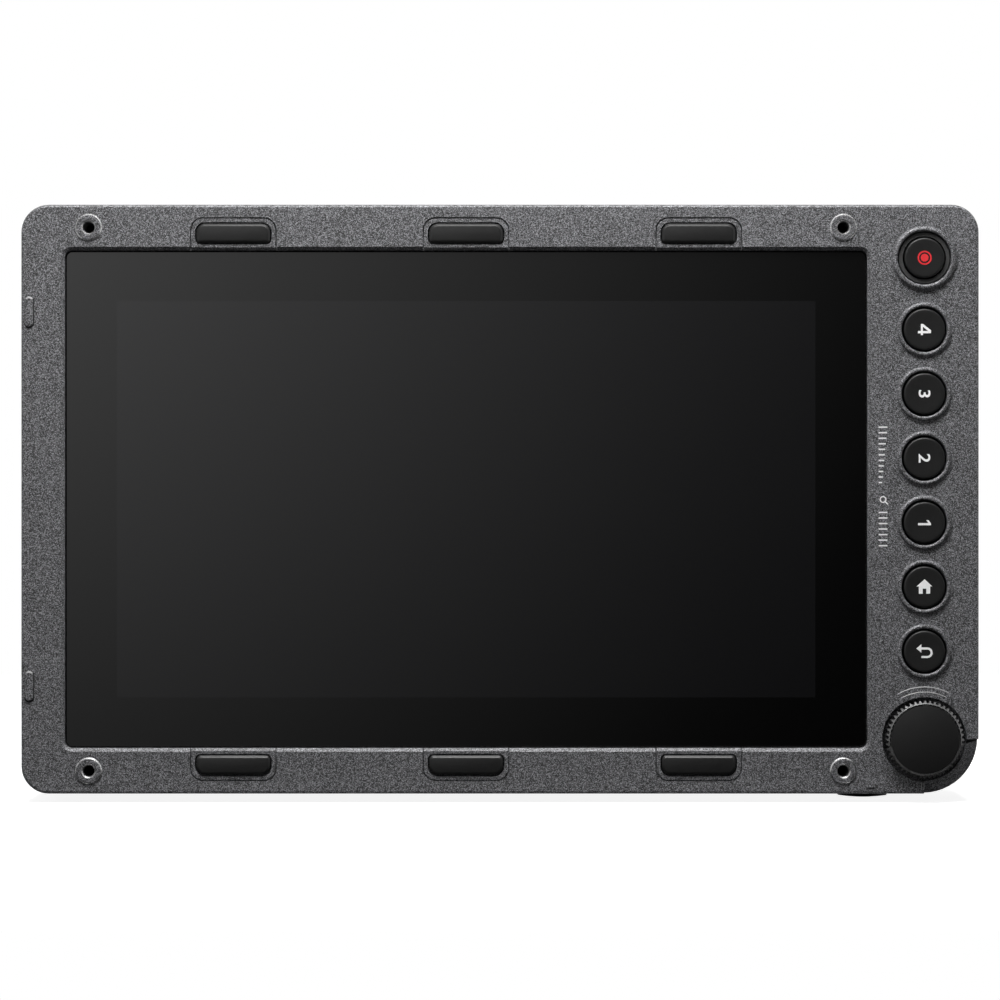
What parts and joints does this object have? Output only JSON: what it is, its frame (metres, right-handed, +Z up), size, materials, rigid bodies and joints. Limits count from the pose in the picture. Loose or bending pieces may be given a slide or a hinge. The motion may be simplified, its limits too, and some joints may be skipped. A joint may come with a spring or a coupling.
{
  "type": "camera field monitor",
  "caption": "Slim rectangular on-camera monitor: recessed touch screen in a metal frame, rubber pads, a side column of round keys, a knurled push dial and tripod threads.",
  "frame": {"origin": "mouth of the tripod thread in the middle of the underside", "axes": "+X to the right along the screen, +Y from the screen to the back, +Z up"},
  "size_m": [0.1524, 0.0262, 0.0952],
  "materials": {
    "frame_coat": "grey powder coat",
    "cover_coat": "grey powder coat",
    "glass": "dark polished glass",
    "key_plastic": "matte black",
    "ring_plastic": "satin grey",
    "pad_rubber": "soft black",
    "seal_rubber": "soft black",
    "dial_metal": "black anodised",
    "dial_cap": "matte black",
    "screw_steel": "dark plated",
    "insert_steel": "machined",
    "socket_steel": "plated",
    "sheet_metal": "plain sheet",
    "tape": "adhesive",
    "panel": "display panel",
    "acrylic": "clear acrylic",
    "ribbon": "flat cable",
    "circuit_board": "solder mask",
    "chip": "moulded",
    "thermal_pad": "soft",
    "switch": "moulded"
  },
  "bodies": {
    "housing": {"front_frame": "frame_coat", "rear_cover": "cover_coat", "cover_seal": "seal_rubber", "case_screws": "screw_steel", "hood_inserts": "insert_steel", "base_insert": "insert_steel", "top_insert": "insert_steel", "touch_glass": "glass", "glass_tape": "tape", "lcd_panel": "panel", "light_guide": "acrylic", "backlight_tray": "sheet_metal", "display_chassis": "sheet_metal", "chassis_screws": "screw_steel", "board_standoffs": "insert_steel", "display_ribbon": "ribbon", "main_board": "circuit_board", "board_screws": "screw_steel", "processor_chip": "chip", "memory_chips": "chip", "thermal_pad": "thermal_pad", "heat_spreader": "sheet_metal", "video_socket": "socket_steel", "usb_socket": "socket_steel", "key_board": "circuit_board", "key_board_screws": "screw_steel", "tact_switches": "switch", "rec_ring": "ring_plastic", "encoder_body": "switch", "power_switch": "switch", "pad_top_left": "pad_rubber", "pad_top_middle": "pad_rubber", "pad_top_right": "pad_rubber", "pad_bottom_left": "pad_rubber", "pad_bottom_middle": "pad_rubber", "pad_bottom_right": "pad_rubber"},
    "rec_button": {"rec_button": "key_plastic", "rec_plunger": "switch"},
    "button_4": {"button_4": "key_plastic", "plunger_4": "switch"},
    "button_3": {"button_3": "key_plastic", "plunger_3": "switch"},
    "button_2": {"button_2": "key_plastic", "plunger_2": "switch"},
    "button_1": {"button_1": "key_plastic", "plunger_1": "switch"},
    "home_button": {"home_button": "key_plastic", "home_plunger": "switch"},
    "back_button": {"back_button": "key_plastic", "back_plunger": "switch"},
    "dial_press": {"encoder_plunger": "switch"},
    "dial": {"dial_knob": "dial_metal", "dial_cap": "dial_cap", "dial_shaft": "screw_steel"},
    "power_button": {"power_button": "key_plastic", "power_plunger": "switch"}
  },
  "joints": [
    {"name": "rec_button_press", "type": "slide", "parent": "housing", "child": "rec_button", "axis": [0, 1, 0], "range_m": [0, 0.00035], "stiffness_N_per_m": 900, "springref_m": -0.0005},
    {"name": "button_4_press", "type": "slide", "parent": "housing", "child": "button_4", "axis": [0, 1, 0], "range_m": [0, 0.00035], "stiffness_N_per_m": 900, "springref_m": -0.0005},
    {"name": "button_3_press", "type": "slide", "parent": "housing", "child": "button_3", "axis": [0, 1, 0], "range_m": [0, 0.00035], "stiffness_N_per_m": 900, "springref_m": -0.0005},
    {"name": "button_2_press", "type": "slide", "parent": "housing", "child": "button_2", "axis": [0, 1, 0], "range_m": [0, 0.00035], "stiffness_N_per_m": 900, "springref_m": -0.0005},
    {"name": "button_1_press", "type": "slide", "parent": "housing", "child": "button_1", "axis": [0, 1, 0], "range_m": [0, 0.00035], "stiffness_N_per_m": 900, "springref_m": -0.0005},
    {"name": "home_button_press", "type": "slide", "parent": "housing", "child": "home_button", "axis": [0, 1, 0], "range_m": [0, 0.00035], "stiffness_N_per_m": 900, "springref_m": -0.0005},
    {"name": "back_button_press", "type": "slide", "parent": "housing", "child": "back_button", "axis": [0, 1, 0], "range_m": [0, 0.00035], "stiffness_N_per_m": 900, "springref_m": -0.0005},
    {"name": "dial_push", "type": "slide", "parent": "housing", "child": "dial_press", "axis": [0, 1, 0], "range_m": [0, 0.0004], "stiffness_N_per_m": 1200, "springref_m": -0.0005},
    {"name": "dial_turn", "type": "hinge", "parent": "dial_press", "child": "dial", "pos_m": [0.06745, -0.0165, 0.0087], "axis": [0, 1, 0], "continuous": true},
    {"name": "power_button_press", "type": "slide", "parent": "housing", "child": "power_button", "axis": [0, 0, 1], "range_m": [0, 0.0003], "stiffness_N_per_m": 900, "springref_m": -0.0005}
  ]
}
